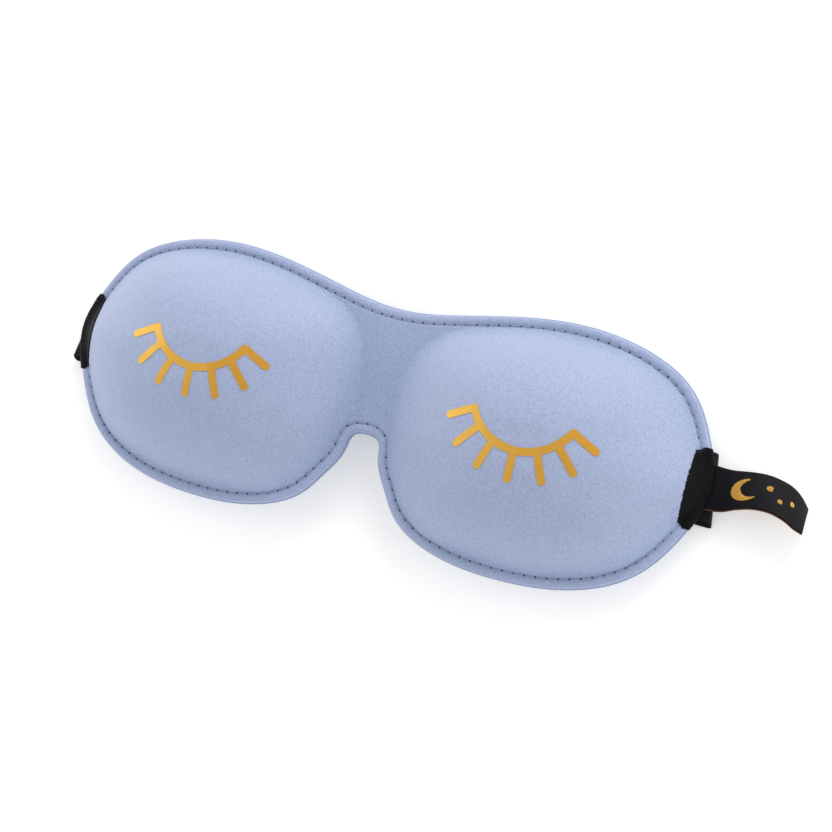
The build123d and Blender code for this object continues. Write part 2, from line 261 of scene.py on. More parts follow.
def build_weave():
    """Ribs along a band crossed by its picks, on the band's own UV map in metres."""
    group, start, end = new_group(
        "band_weave",
        [
            ("Place", "NodeSocketVector", None),
            ("Rib", "NodeSocketFloat", 1.0 * MM),
            ("Pick", "NodeSocketFloat", 0.8 * MM),
        ],
        [("Height", "NodeSocketFloat"), ("Shade", "NodeSocketFloat")],
    )
    along, across, _ = split_place(group, start.outputs["Place"])
    ribs = wave_of(group, across, start.outputs["Rib"])
    every_other = maths(group, "FLOOR", maths(group, "DIVIDE", across, start.outputs["Rib"]))
    shift = maths(group, "MULTIPLY", every_other, maths(group, "MULTIPLY", start.outputs["Pick"], 0.5))
    picks = wave_of(group, maths(group, "ADD", along, shift), start.outputs["Pick"])
    height = maths(group, "MULTIPLY", maths(group, "MULTIPLY_ADD", picks, 0.7, 0.3), ribs)
    group.links.new(height, end.inputs["Height"])
    group.links.new(maths(group, "POWER", height, 0.7), end.inputs["Shade"])
    return group


def build_twist():
    """Slanting lines of a twisted thread."""
    group, start, end = new_group(
        "thread_twist",
        [("Place", "NodeSocketVector", None), ("Pitch", "NodeSocketFloat", 0.35 * MM)],
        [("Height", "NodeSocketFloat")],
    )
    x, y, z = split_place(group, start.outputs["Place"])
    slant = maths(group, "ADD", maths(group, "ADD", x, y), z)
    group.links.new(wave_of(group, slant, start.outputs["Pitch"]), end.inputs["Height"])
    return group


knit_group, mottle_group = build_knit(), build_mottle()
weave_group, twist_group = build_weave(), build_twist()
print("shared effects:", [g.name for g in bpy.data.node_groups])


# %% [markdown]
# A finish starts from one Principled shader. Its roughness and bump come from the
# shared effects; what is the same all over, such as sheen, is set on the shader itself.

# %% Finishes
class Finish:
    """A material being made: its tree, its shader, and the place that its patterns read."""

    def __init__(self, name, coordinates="Object", sheen=0.0, specular=0.5):
        self.material = bpy.data.materials.new(name)
        self.material.use_nodes = True
        self.tree = self.material.node_tree
        self.shader = self.tree.nodes["Principled BSDF"]
        self.place = self.tree.nodes.new("ShaderNodeTexCoord").outputs[coordinates]
        self.shader.inputs["Sheen Weight"].default_value = sheen
        self.shader.inputs["Sheen Roughness"].default_value = 0.45
        self.shader.inputs["Specular IOR Level"].default_value = specular

    def use(self, group, **values):
        """Place a shared effect and return its node."""
        node = self.tree.nodes.new("ShaderNodeGroup")
        node.node_tree = group
        self.tree.links.new(self.place, node.inputs["Place"])
        for name, value in values.items():
            node.inputs[name].default_value = value
        return node

    def colour(self, socket):
        """Feed the base colour."""
        feed(self.tree, self.shader.inputs["Base Color"], socket)

    def roughness(self, mask, low, high):
        """Roughness that runs from low to high with a mask."""
        span = maths(self.tree, "MULTIPLY_ADD", mask, high - low, low)
        self.tree.links.new(span, self.shader.inputs["Roughness"])

    def bump(self, height, depth, strength=0.6):
        """Raise the surface by a height, to a depth in metres."""
        node = self.tree.nodes.new("ShaderNodeBump")
        node.inputs["Distance"].default_value = depth
        node.inputs["Strength"].default_value = strength
        self.tree.links.new(height, node.inputs["Height"])
        self.tree.links.new(node.outputs["Normal"], self.shader.inputs["Normal"])


def knit_finish(name, light, dark, pitch, depth, sheen, low, high):
    """A knit cloth: loops for bump, fibres and mottling for colour and roughness."""
    finish = Finish(name, sheen=sheen, specular=0.35)
    knit = finish.use(knit_group, Pitch=pitch)
    mottle = finish.use(mottle_group, Scale=45.0)
    tree = finish.tree
    loops = maths(tree, "MULTIPLY", knit.outputs["Shade"], 0.55)
    share = maths(tree, "MULTIPLY_ADD", mottle.outputs["Mask"], 0.5, loops)
    finish.colour(mix_colour(tree, share, dark, light))
    finish.roughness(mottle.outputs["Mask"], low, high)
    finish.bump(knit.outputs["Height"], depth)
    return finish.material


def band_finish(name, light, dark, rib, pick, depth, low, high, specular):
    """A woven band: ribs and picks for bump, darker between them."""
    finish = Finish(name, coordinates="UV", specular=specular)
    weave = finish.use(weave_group, Rib=rib, Pick=pick)
    mottle = finish.use(mottle_group, Scale=90.0)
    tree = finish.tree
    unevenness = maths(tree, "MULTIPLY_ADD", mottle.outputs["Mask"], 0.8, 0.4)
    share = maths(tree, "MULTIPLY", weave.outputs["Shade"], unevenness)
    finish.colour(mix_colour(tree, share, dark, light))
    finish.roughness(weave.outputs["Shade"], high, low)
    finish.bump(weave.outputs["Height"], depth, 0.9)
    return finish.material


def thread_finish(name, light, dark, sheen, low, high, specular=0.5):
    """Twisted thread: slanting lines, darker between them."""
    finish = Finish(name, sheen=sheen, specular=specular)
    twist = finish.use(twist_group, Pitch=0.35 * MM)
    mottle = finish.use(mottle_group, Scale=300.0)
    tree = finish.tree
    unevenness = maths(tree, "MULTIPLY_ADD", mottle.outputs["Mask"], 0.8, 0.5)
    share = maths(tree, "MULTIPLY", twist.outputs["Height"], unevenness)
    finish.colour(mix_colour(tree, share, dark, light))
    finish.roughness(twist.outputs["Height"], high, low)
    finish.bump(twist.outputs["Height"], 0.05 * MM)
    return finish.material


def cover_finish():
    """Satin knit, finely speckled; painted highlight on the cups, painted shade on rim and bridge."""
    finish = Finish("satin_knit", sheen=0.2, specular=0.3)
    tree = finish.tree
    knit = finish.use(knit_group, Pitch=0.5 * MM)
    mottle = finish.use(mottle_group, Scale=45.0)
    # Painted light: paler colours up on the cups, darker ones on the rim and bridge.
    painted_light = tree.nodes.new("ShaderNodeAttribute")
    painted_light.attribute_name = "painted_light"
    dark = mix_colour(tree, painted_light.outputs["Fac"], (0.28, 0.35, 0.54), (0.31, 0.375, 0.55))
    light = mix_colour(tree, painted_light.outputs["Fac"], (0.435, 0.52, 0.77), (0.475, 0.545, 0.78))
    speckle = maths(tree, "MULTIPLY_ADD", knit.outputs["Shade"], 1.7, -0.76)
    share = maths(tree, "MULTIPLY_ADD", mottle.outputs["Mask"], 0.4, speckle)
    finish.colour(mix_colour(tree, share, dark, light))
    finish.roughness(mottle.outputs["Mask"], 0.42, 0.62)
    finish.bump(knit.outputs["Height"], 0.03 * MM)
    return finish.material


cover_cloth = cover_finish()
lining_cloth = knit_finish(
    "lining_knit", (0.33, 0.40, 0.60), (0.24, 0.30, 0.47), 0.6 * MM, 0.06 * MM, 0.35, 0.75, 0.95
)
blue_thread = thread_finish("blue_thread", (0.42, 0.48, 0.62), (0.20, 0.25, 0.38), 0.2, 0.45, 0.7)
hole_shade = thread_finish("needle_hole", (0.05, 0.07, 0.13), (0.02, 0.03, 0.07), 0.0, 0.7, 0.9)
black_thread = thread_finish(
    "black_thread", (0.005, 0.005, 0.008), (0.0012, 0.0012, 0.002), 0.0, 0.45, 0.7, 0.14
)
gold_thread = thread_finish("gold_thread", (0.85, 0.50, 0.07), (0.50, 0.22, 0.02), 0.1, 0.35, 0.55)
strap_elastic = band_finish(
    "strap_elastic", (0.014, 0.014, 0.018), (0.002, 0.002, 0.003),
    1.15 * MM, 0.9 * MM, 0.16 * MM, 0.55, 0.85, 0.25
)
tab_front = band_finish(
    "tab_weave", (0.006, 0.006, 0.010), (0.002, 0.002, 0.004),
    0.28 * MM, 0.35 * MM, 0.03 * MM, 0.45, 0.62, 0.14
)
tab_back = band_finish(
    "tab_weave_back", (0.26, 0.10, 0.025), (0.015, 0.008, 0.005),
    0.6 * MM, 0.7 * MM, 0.08 * MM, 0.6, 0.85, 0.2
)


def gold_print_finish():
    """Metallic print: fine leafing grain, and a painted highlight, lighter towards -X on both prints."""
    finish = Finish("gold_print", specular=0.6)
    tree = finish.tree
    mottle = finish.use(mottle_group, Scale=260.0)
    broad = finish.use(mottle_group, Scale=30.0)
    # Painted highlight: each print runs light to dark towards +X, the same way on both sides.
    x, _, _ = split_place(tree, finish.place)
    low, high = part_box("lash_print_right")
    span = high[0] - low[0]
    run = maths(tree, "DIVIDE", maths(tree, "SUBTRACT", maths(tree, "ABSOLUTE", x), low[0]), span)
    left_run = maths(tree, "SUBTRACT", 1.0, run)
    on_left = maths(tree, "LESS_THAN", x, 0.0)
    across = maths(tree, "ADD", maths(tree, "MULTIPLY", on_left, left_run),
                   maths(tree, "MULTIPLY", maths(tree, "SUBTRACT", 1.0, on_left), run))
    slope = maths(tree, "MULTIPLY_ADD", across, 0.6, -0.1)
    share = maths(tree, "MULTIPLY_ADD", broad.outputs["Mask"], 0.5, slope)
    finish.colour(mix_colour(tree, share, (0.90, 0.53, 0.08), (0.62, 0.27, 0.01)))
    finish.roughness(mottle.outputs["Mask"], 0.34, 0.62)
    finish.bump(mottle.outputs["Mask"], 0.03 * MM, 0.5)
    finish.shader.inputs["Metallic"].default_value = 0.35
    return finish.material


def foam_finish():
    """Open-cell foam: small round pores."""
    finish = Finish("foam", specular=0.3)
    tree = finish.tree
    pores = tree.nodes.new("ShaderNodeTexVoronoi")
    pores.inputs["Scale"].default_value = 900.0
    tree.links.new(finish.place, pores.inputs["Vector"])
    finish.colour(mix_colour(tree, pores.outputs["Distance"], (0.10, 0.11, 0.14), (0.30, 0.32, 0.38)))
    finish.roughness(pores.outputs["Distance"], 0.8, 1.0)
    finish.bump(pores.outputs["Distance"], 0.2 * MM)
    return finish.material


def plastic_finish():
    """Moulded black plastic: a fine spark-eroded grain and faint rubbing."""
    finish = Finish("black_plastic", specular=0.5)
    grain = finish.use(mottle_group, Scale=700.0)
    rubbing = finish.use(mottle_group, Scale=80.0)
    dark, rubbed = (0.010, 0.010, 0.012), (0.030, 0.030, 0.034)
    finish.colour(mix_colour(finish.tree, rubbing.outputs["Mask"], dark, rubbed))
    finish.roughness(rubbing.outputs["Mask"], 0.32, 0.58)
    finish.bump(grain.outputs["Mask"], 0.03 * MM)
    return finish.material


gold_print, foam_cells, black_plastic = gold_print_finish(), foam_finish(), plastic_finish()


def paint_node(node, material):
    """Give a CAD node a better finish, leaving its mesh alone."""
    for number in range(len(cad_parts[node].material_slots)):
        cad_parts[node].material_slots[number].material = material


for side in ("right", "left"):
    paint_node(f"lash_print_{side}", gold_print)
    paint_node(f"foam_shell_{side}", foam_cells)
for node in ("slider", "strap_ring"):
    paint_node(node, black_plastic)
print("finishes:", len(bpy.data.materials))

# %% [markdown]
# Cloth that is bonded to foam follows the foam's shape exactly, so the covers are laid
# on the CAD solids rather than invented again. A search tree over a solid's triangles
# answers one question: straight above or below this point, where is the surface?

# %% Search trees over the CAD solids
def tree_of(*nodes):
    """A search tree over the triangles of some CAD nodes."""
    shape = bmesh.new()
    for node in nodes:
        shape.from_mesh(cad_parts[node].data)
    tree = BVHTree.FromBMesh(shape)
    shape.free()
    return tree


cover_tree = tree_of("front_cover_right", "front_cover_left")
lining_tree = tree_of("back_lining_right", "back_lining_left")
FAR = 0.2
UP = Vector((0, 0, 1))


def height_on(tree, x, y, from_above=True):
    """Height where a vertical line through x, y first meets the tree's surface."""
    start = Vector((x, y, FAR if from_above else -FAR))
    hit = tree.ray_cast(start, -UP if from_above else UP)[0]
    return None if hit is None else hit.z


# %% [markdown]
# The rim's outline carries the seam, the rolled edge and the bar tacks. It is read from
# the walls of the CAD lining: their points, sorted by angle about the cup's middle, run
# once round the half. Resampling them evenly gives a path to walk along.

# %% The outline of the rim
def cup_middle(side):
    """Middle of the right (1) or left (-1) cup, seen from above."""
    low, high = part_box("lash_print_right")
    return Vector((side * (low[0] + high[0]) / 2, 0, 0))


BRIDGE_ANGLE = 150.5  # degrees, from the cup's middle to the bridge's forehead corner


def half_outline():
    """Points of the right half's edge, from the forehead side of the bridge round to the notch."""
    shape = bmesh.new()
    shape.from_mesh(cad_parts["back_lining_right"].data)
    bmesh.ops.remove_doubles(shape, verts=shape.verts, dist=0.01 * MM)
    middle = cup_middle(1)
    points = {}
    for face in shape.faces:
        if abs(face.normal.z) < 0.2:
            for corner in face.verts:
                off_fold = corner.co.x > 0.3 * MM
                outside = (corner.co - middle).xy.length > 40 * MM or abs(corner.co.y) > 5 * MM
                if off_fold and outside:
                    key = (round(corner.co.x / MM, 2), round(corner.co.y / MM, 2))
                    points[key] = Vector((corner.co.x, corner.co.y, 0))
    shape.free()
    start = math.radians(BRIDGE_ANGLE)
    turn = lambda p: (start - math.atan2(p.y - middle.y, p.x - middle.x)) % (2 * math.pi)
    return sorted(points.values(), key=turn)


def resample(points, step):
    """Points evenly spaced along a line through the given points."""
    runs = [0.0]
    for a, b in zip(points, points[1:]):
        runs.append(runs[-1] + (b - a).length)
    count = round(runs[-1] / step)
    evenly, at = [], 0
    for number in range(count + 1):
        want = runs[-1] * number / count
        while at < len(runs) - 2 and runs[at + 1] < want:
            at += 1
        share = (want - runs[at]) / max(runs[at + 1] - runs[at], 1e-9)
        evenly.append(points[at].lerp(points[at + 1], share))
    return evenly


right_edge = half_outline()
left_edge = [Vector((-p.x, p.y, 0)) for p in reversed(right_edge)]
PATH_SPACING = 0.5 * MM
rim_path = resample(right_edge + left_edge + right_edge[:1], PATH_SPACING)[:-1]
rim_length = PATH_SPACING * len(rim_path)
print("rim", len(right_edge), "points per half,", round(rim_length, 3), "m round")

# %% [markdown]
# Three things are asked of that path again and again: which way is inwards at a place
# on it, how far inside the edge a point lies, and how far round the rim it is. A
# k-d tree over the path's points answers the last two for any point of a mesh.

# %% Walking along the rim
PATH_STEP = rim_length / len(rim_path)
path_count = len(rim_path)


def inward_at(index, spread=4):
    """Unit vector towards the inside, smoothed over a few points of the path."""
    along = rim_path[(index + spread) % path_count] - rim_path[(index - spread) % path_count]
    return Vector((along.y, -along.x, 0)).normalized()


rim_inward = [inward_at(index) for index in range(path_count)]
rim_tree = KDTree(path_count)
for index, point in enumerate(rim_path):
    rim_tree.insert(point, index)
rim_tree.balance()


def rim_place(distance, inset=0.0):
    """Point on the rim at a distance round it, moved inwards, with the way inwards there."""
    at = distance / PATH_STEP
    low = int(math.floor(at))
    share = at - low
    a, b = low % path_count, (low + 1) % path_count
    inward = rim_inward[a].lerp(rim_inward[b], share).normalized()
    return rim_path[a].lerp(rim_path[b], share) + inward * inset, inward


def inset_of(x, y):
    """How far inside the edge a point is, and how far round the rim."""
    flat = Vector((x, y, 0))
    near, index, _ = rim_tree.find(flat)
    off = flat - near
    inside = off.dot(rim_inward[index])
    return math.copysign(off.length, inside), index * PATH_STEP


print("inside the bridge:", round(inset_of(0.0, 0.013)[0] / MM, 1), "mm from the edge")

# %% [markdown]
# The cover is one piece of satin knit bonded over the foam. By hand it starts as a
# grid, with the faces outside the rim deleted. Its loose edge is drawn onto a smooth
# line inside the rim, and then extruded outwards ring by ring, so that the seam, the
# roll of the edge and the turn under it each have rings that run parallel to them.
# A grid alone would show steps along the seam, and rings alone would pinch in the cups.

# %% Helpers for working in edit mode
def deselect_all():
    """Leave nothing selected, in object mode."""
    if bpy.context.object and bpy.context.object.mode != "OBJECT":
        bpy.ops.object.mode_set(mode="OBJECT")
    bpy.ops.object.select_all(action="DESELECT")


def make_active(piece):
    """Select one piece alone and make it active."""
    deselect_all()
    piece.select_set(True)
    bpy.context.view_layer.objects.active = piece


def apply_modifiers(piece):
    """Apply every modifier of a piece, in order."""
    make_active(piece)
    for modifier in list(piece.modifiers):
        bpy.ops.object.modifier_apply(modifier=modifier.name)


def loop_in_order(shape):
    """The corners of a mesh's one open edge, in order round it."""
    edges = [e for e in shape.edges if e.is_boundary]
    following = {}
    for edge in edges:
        for corner in edge.verts:
            following.setdefault(corner, []).append(edge.other_vert(corner))
    first = edges[0].verts[0]
    loop, before, here = [first], None, first
    while True:
        ahead = [v for v in following[here] if v is not before]
        before, here = here, ahead[0]
        if here is first:
            return loop
        loop.append(here)


# %% Grid inside the rim, then rings out to its edge
GRID_STEP = 1.2 * MM
GRID_INSET = 5.2 * MM
FOLD_GAP = 0.3 * MM


def lay_grid(name):
    """A flat grid that fills the rim up to GRID_INSET, its edge on a smooth line."""
    low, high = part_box("back_lining_right")
    width, depth = 2 * high[0], high[1] - low[1]
    middle_y = (high[1] + low[1]) / 2
    deselect_all()
    columns, rows = round(width / GRID_STEP), round(depth / GRID_STEP)
    bpy.ops.mesh.primitive_grid_add(
        x_subdivisions=columns, y_subdivisions=rows, size=1, location=(0, middle_y, 0)
    )
    piece = bpy.context.object
    piece.name = name
    piece.scale = (width, depth, 1)
    bpy.ops.object.transform_apply(location=True, rotation=True, scale=True)
    bpy.ops.object.mode_set(mode="EDIT")
    bpy.ops.mesh.select_all(action="DESELECT")
    shape = bmesh.from_edit_mesh(piece.data)
    for corner in shape.verts:
        corner.select_set(inset_of(corner.co.x, corner.co.y)[0] < GRID_INSET + 0.1 * GRID_STEP)
    shape.select_flush_mode()
    bmesh.update_edit_mesh(piece.data)
    bpy.ops.mesh.delete(type="VERT")
    bpy.ops.mesh.select_all(action="DESELECT")
    shape = bmesh.from_edit_mesh(piece.data)
    stray = [e for e in shape.edges if not e.link_faces] + [v for v in shape.verts if not v.link_faces]
    for item in stray:
        item.select_set(True)
    bmesh.update_edit_mesh(piece.data)
    bpy.ops.mesh.delete(type="VERT")
    bpy.ops.object.mode_set(mode="OBJECT")
    return piece


def relax(corners, rounds):
    """Move each corner towards the middle of its neighbours, seen from above."""
    around = {c: [e.other_vert(c) for e in c.link_edges] for c in corners}
    for _ in range(rounds):
        moved = {c: sum((n.co for n in near), Vector()) / len(near) for c, near in around.items()}
        for corner, place in moved.items():
            corner.co = corner.co.lerp(place, 0.5)


def draw_edge_to_line(shape):
    """Put the grid's open edge on the inset line, evenly, and ease the cells beside it."""
    loop = loop_in_order(shape)
    rounds_at = [inset_of(c.co.x, c.co.y)[1] for c in loop]
    steps = [(b - a) % rim_length for a, b in zip(rounds_at, rounds_at[1:])]
    forward = sum(1 for step in steps if 0 < step < rim_length / 2)
    if forward < len(loop) / 2:
        loop.reverse()
        rounds_at.reverse()
    start = rounds_at[0]
    unrolled = [start + rim_length * number / len(loop) for number in range(len(loop))]
    shift = 0.0
    for number, at in enumerate(rounds_at):
        shift += (at - unrolled[number] + rim_length / 2) % rim_length - rim_length / 2
    places = [at + shift / len(loop) for at in unrolled]
    own = [
        at + ((near - at + rim_length / 2) % rim_length - rim_length / 2)
        for at, near in zip(places, rounds_at)
    ]
    for _ in range(40):
        before = own[-1:] + own[:-1]
        after = own[1:] + own[:1]
        own = [
            (a - rim_length * (n == 0) + b + rim_length * (n == len(own) - 1)) / 2 * 0.5 + o * 0.5
            for n, (a, b, o) in enumerate(zip(before, after, own))
        ]
    for corner, at in zip(loop, own):
        corner.co = rim_place(at, GRID_INSET)[0]
    on_edge = set(loop)
    reach = GRID_INSET + 6 * MM
    inner = [c for c in shape.verts if c not in on_edge]
    relax([c for c in inner if inset_of(c.co.x, c.co.y)[0] < reach], 30)
    return loop, own


def grow_rings(shape, loop, places, rings):
    """Extrude the open edge out to each ring, given as (inset, level) pairs."""
    made = []
    for inset, level in rings:
        edges = [e for e in shape.edges if e.is_boundary]
        grown = bmesh.ops.extrude_edge_only(shape, edges=edges)["geom"]
        fresh = {v for v in grown if isinstance(v, bmesh.types.BMVert)}
        pairs = {}
        for corner in fresh:
            for edge in corner.link_edges:
                other = edge.other_vert(corner)
                if other not in fresh:
                    pairs[other] = corner
        loop = [pairs[corner] for corner in loop]
        for corner, at in zip(loop, places):
            corner.co = rim_place(at, inset)[0]
        made.append((loop, level))
    return made


def make_skin(name, tree, from_above, rings, lift):
    """A cloth skin over one face of the mask, with its edge turned as the rings say."""
    piece = lay_grid(name)
    shape = bmesh.new()
    shape.from_mesh(piece.data)
    loop, places = draw_edge_to_line(shape)
    made = grow_rings(shape, loop, places, rings)
    level_of = {corner: level for ring, level in made for corner in ring}
    side = 1 if from_above else -1
    sample_inset = 1.0 * MM
    for corner in shape.verts:
        inset, at = inset_of(corner.co.x, corner.co.y)
        x, y = corner.co.x, corner.co.y
        if inset < sample_inset:
            place = rim_place(at, sample_inset)[0]
            x, y = place.x, place.y
        height = height_on(tree, math.copysign(max(abs(x), FOLD_GAP), x), y, from_above)
        corner.co.z = height + side * (lift - level_of.get(corner, 0.0))
    bmesh.ops.recalc_face_normals(shape, faces=shape.faces)
    top = max(shape.faces, key=lambda f: side * f.calc_center_median().z)
    if top.normal.z * side < 0:
        bmesh.ops.reverse_faces(shape, faces=shape.faces)
    shape.to_mesh(piece.data)
    shape.free()
    smoother = piece.modifiers.new("smooth", "SUBSURF")
    smoother.levels = 1
    smoother.render_levels = 1
    apply_modifiers(piece)
    make_active(piece)
    bpy.ops.object.shade_smooth()
    return piece


COVER_LIFT = 0.02 * MM
cover_rings = [
    (inset * MM, level * MM)
    for inset, level in (
        (4.6, 0), (4.1, 0), (3.7, 0), (3.35, 0), (3.0, 0), (2.65, 0), (2.3, 0), (1.8, 0),
        (1.3, 0), (0.9, 0.02), (0.5, 0.12), (0.2, 0.34), (0.0, 0.65), (-0.09, 1.1), (-0.12, 1.6),
        (-0.12, 2.0), (-0.08, 2.4),
    )
]
cover = make_skin("front_cover", cover_tree, True, cover_rings, COVER_LIFT)
print("cover:", len(cover.data.polygons), "faces")

# %% [markdown]
# The lining is the softer knit against the face. It follows the hollow of the cups and
# ends in a thin lip that stands a little proud of the cover's rolled edge, which is the
# pale line seen all round the rim.

# %% Back lining
lining_rings = [
    (inset * MM, level * MM)
    for inset, level in (
        (4.6, 0), (4.0, 0), (3.4, 0), (3.0, 0), (2.6, 0), (1.8, 0), (0.9, 0), (0.3, 0),
        (-0.2, 0.04), (-0.5, 0.2), (-0.56, 0.48), (-0.42, 0.74), (0.1, 0.86),
    )
]
lining = make_skin("back_lining", lining_tree, False, lining_rings, 0.02 * MM)
print("lining:", len(lining.data.polygons), "faces")


# %% [markdown]
# The seam pulls the cloth down into a narrow groove, the rolled edge outside it swells,
# and each needle hole is the bottom of a small dimple with faint puckers beside it. All
# of that is a change of height that depends only on how far a point is from the edge
# and how far round the rim it is, so the skins' points are moved by a formula.

# %% Seam, welt and puckers
SEAM_INSET = 3.0 * MM
SEAM_DEPTH = 0.24 * MM
WANTED_PITCH = 3.8 * MM
RIM_END = 90 * MM  # past this along X, the rim is one of its two ends
seam_line = [rim_place(number * PATH_STEP, SEAM_INSET)[0] for number in range(path_count)]
SEAM_SPACING = 0.1 * MM
seam_line = resample(seam_line + seam_line[:1], SEAM_SPACING)[:-1]
seam_step = sum((b - a).length for a, b in zip(seam_line, seam_line[1:])) / (len(seam_line) - 1)
stitch_count = round(seam_step * len(seam_line) / WANTED_PITCH)
STITCH_PITCH = seam_step * len(seam_line) / stitch_count
tack_low, tack_high = (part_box("bar_tack_right")[0].y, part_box("bar_tack_right")[1].y)


def seam_place(turns):
    """The place and the way inwards, a number of stitches round the seam."""
    index = round(turns * STITCH_PITCH / seam_step) % len(seam_line)
    place = seam_line[index].copy()
    at = inset_of(place.x, place.y)[1]
    return place, rim_place(at)[1]


hole_tree = KDTree(stitch_count)
for number in range(stitch_count):
    hole_tree.insert(seam_place(number)[0], number)
hole_tree.balance()


def bell(distance, width):
    """1 at no distance, falling off smoothly over the width."""
    return math.exp(-((distance / width) ** 2))


def under_tack(place, spare=0.0):
    """True where the bar tack covers the rim."""
    return abs(place.x) > RIM_END and tack_low - spare < place.y < tack_high + spare


def shape_seam(piece, side, groove, swell):
    """Press the seam into a skin and swell the edge outside it."""
    for corner in piece.data.vertices:
        inset = inset_of(corner.co.x, corner.co.y)[0]
        if not 0.25 * MM < inset < 9 * MM:
            continue
        to_hole = hole_tree.find(Vector((corner.co.x, corner.co.y, 0)))[2]
        between = min(math.sqrt(max(to_hole**2 - (inset - SEAM_INSET) ** 2, 0)) / STITCH_PITCH, 0.5)
        lift = -groove * bell(inset - SEAM_INSET, 0.6 * MM)
        lift += swell * bell(inset - 1.6 * MM, 0.8 * MM)
        lift -= 0.16 * MM * bell(to_hole, 0.7 * MM)
        pucker = math.cos(2 * math.pi * between) * bell(inset - 4.2 * MM, 1.2 * MM)
        roll = math.cos(2 * math.pi * between) * bell(inset - 1.6 * MM, 0.9 * MM)
        lift -= 0.05 * MM * pucker + 0.05 * MM * roll
        corner.co.z += side * lift


def soften_surface(piece, side, depth):
    """Faint hand-made unevenness, only ever inwards."""
    for corner in piece.data.vertices:
        place = corner.co
        slow = noise.noise(place * 55.0)
        quick = noise.noise(Vector((place.x * 160.0, place.y * 70.0, 7.0)))
        corner.co.z -= side * depth * (0.7 * (slow + 1) / 2 + 0.3 * (quick + 1) / 2)


RIM_ARC = 839 * MM
rim_top_middle = height_on(cover_tree, 1 * MM, 15 * MM)


def mark_painted_light(piece, full_height):
    """Painted light: painted shade on the rim and bridge, a painted highlight up on a cup."""
    painted_light = piece.data.attributes.new("painted_light", "FLOAT", "POINT")
    for corner in piece.data.vertices:
        rim_top = rim_top_middle - corner.co.x**2 / (2 * RIM_ARC)
        share = min(max((corner.co.z - rim_top) / full_height, 0.0), 1.0)
        # The rolled edge is painted part way paler, a painted highlight.
        welt_highlight = 0.7 * bell(inset_of(corner.co.x, corner.co.y)[0] - 1.2 * MM, 1.1 * MM)
        painted_light.data[corner.index].value = max(share**2 * (3 - 2 * share), welt_highlight)


# Painted light on the cover: paler on the cups and rolled edge, darker on the rim and bridge.
mark_painted_light(cover, 7 * MM)
shape_seam(cover, 1, SEAM_DEPTH, 0.10 * MM)
shape_seam(lining, -1, 0.25 * MM, 0.0)
soften_surface(cover, 1, 0.10 * MM)
soften_surface(lining, -1, 0.12 * MM)

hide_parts("front_cover_right", "front_cover_left")
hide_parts("back_lining_right", "back_lining_left")
cover.data.materials.append(cover_cloth)
lining.data.materials.append(lining_cloth)


def blend_over_fold(piece):
    """Bake the piece's placement into its mesh."""
    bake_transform(piece)


blend_over_fold(cover)
blend_over_fold(lining)
print("seam:", stitch_count, "stitches of", round(STITCH_PITCH / MM, 2), "mm")

# %% [markdown]
# A lockstitch shows as short lengths of thread that dive into a needle hole at each
# end. One stitch is modelled, a thin six-sided cylinder bowed so that its ends sink, and
# one hole, a shallow eight-sided dish. Both are copied to every place along the seam.

# %% One stitch and one needle hole
def take_mesh(piece):
    """The points and faces of a helper piece, which is then removed."""
    points = [v.co.copy() for v in piece.data.vertices]
    faces = [tuple(f.vertices) for f in piece.data.polygons]
    bpy.data.meshes.remove(piece.data)
    return points, faces


def model_stitch(length, radius, bow):
    """A bowed thread that lies along X, its ends lower than its middle."""
    deselect_all()
    bpy.ops.mesh.primitive_cylinder_add(vertices=6, radius=radius, depth=length, rotation=(0, math.pi / 2, 0))
    piece = bpy.context.object
    bpy.ops.object.transform_apply(location=True, rotation=True, scale=True)
    bpy.ops.object.mode_set(mode="EDIT")
    for share in (-0.38, -0.13, 0.13, 0.38):
        bpy.ops.mesh.select_all(action="SELECT")
        bpy.ops.mesh.bisect(plane_co=(share * length, 0, 0), plane_no=(1, 0, 0))
    bpy.ops.object.mode_set(mode="OBJECT")
    for corner in piece.data.vertices:
        share = abs(corner.co.x) / (length / 2)
        thin = 1 - 0.45 * share**4
        corner.co = Vector((corner.co.x, corner.co.y * thin, corner.co.z * thin - bow * share**3))
    return take_mesh(piece)


def model_hole(radius, depth):
    """A shallow dish, open upwards."""
    deselect_all()
    bpy.ops.mesh.primitive_circle_add(vertices=8, radius=radius, fill_type="TRIFAN")
    piece = bpy.context.object
    for corner in piece.data.vertices:
        corner.co.z = -depth if corner.co.xy.length < radius / 2 else 0.0
    return take_mesh(piece)


def copy_to_places(name, template, places):
    """One mesh made of a template copied to every place, a 4x4 matrix each."""
    points, faces = [], []
    for place in places:
        base = len(points)
        points += [place @ p for p in template[0]]
        faces += [tuple(base + corner for corner in face) for face in template[1]]
    data = bpy.data.meshes.new(name)
    data.from_pydata(points, [], faces)
    piece = bpy.data.objects.new(name, data)
    bpy.context.scene.collection.objects.link(piece)
    data.polygons.foreach_set("use_smooth", [True] * len(faces))
    return piece


def seam_height(tree, place, side):
    """Height of the pressed-in seam at a place on it."""
    x = math.copysign(max(abs(place.x), FOLD_GAP), place.x)
    return height_on(tree, x, place.y, side > 0) + side * (COVER_LIFT - SEAM_DEPTH)


def facing(place, along, side):
    """A frame at a place: X along the seam, Z out of the skin."""
    out = Vector((0, 0, side))
    across = out.cross(along).normalized()
    matrix = Matrix((along, across, out)).transposed().to_4x4()
    matrix.translation = place
    return matrix


def seam_places(tree, side, offset, rise):
    """A frame for each stitch, or each hole between two, all round the seam."""
    rng = random.Random(11)
    places = []
    for number in range(stitch_count):
        place, inward = seam_place(number + offset)
        place += inward * rng.uniform(-0.07, 0.07) * MM
        if under_tack(place, 0.3 * STITCH_PITCH):
            continue
        place.z = seam_height(tree, place, side) + side * rise
        along = Vector((inward.y, -inward.x, 0)) + inward * rng.uniform(-0.05, 0.05)
        places.append(facing(place, along.normalized(), side))
    return places


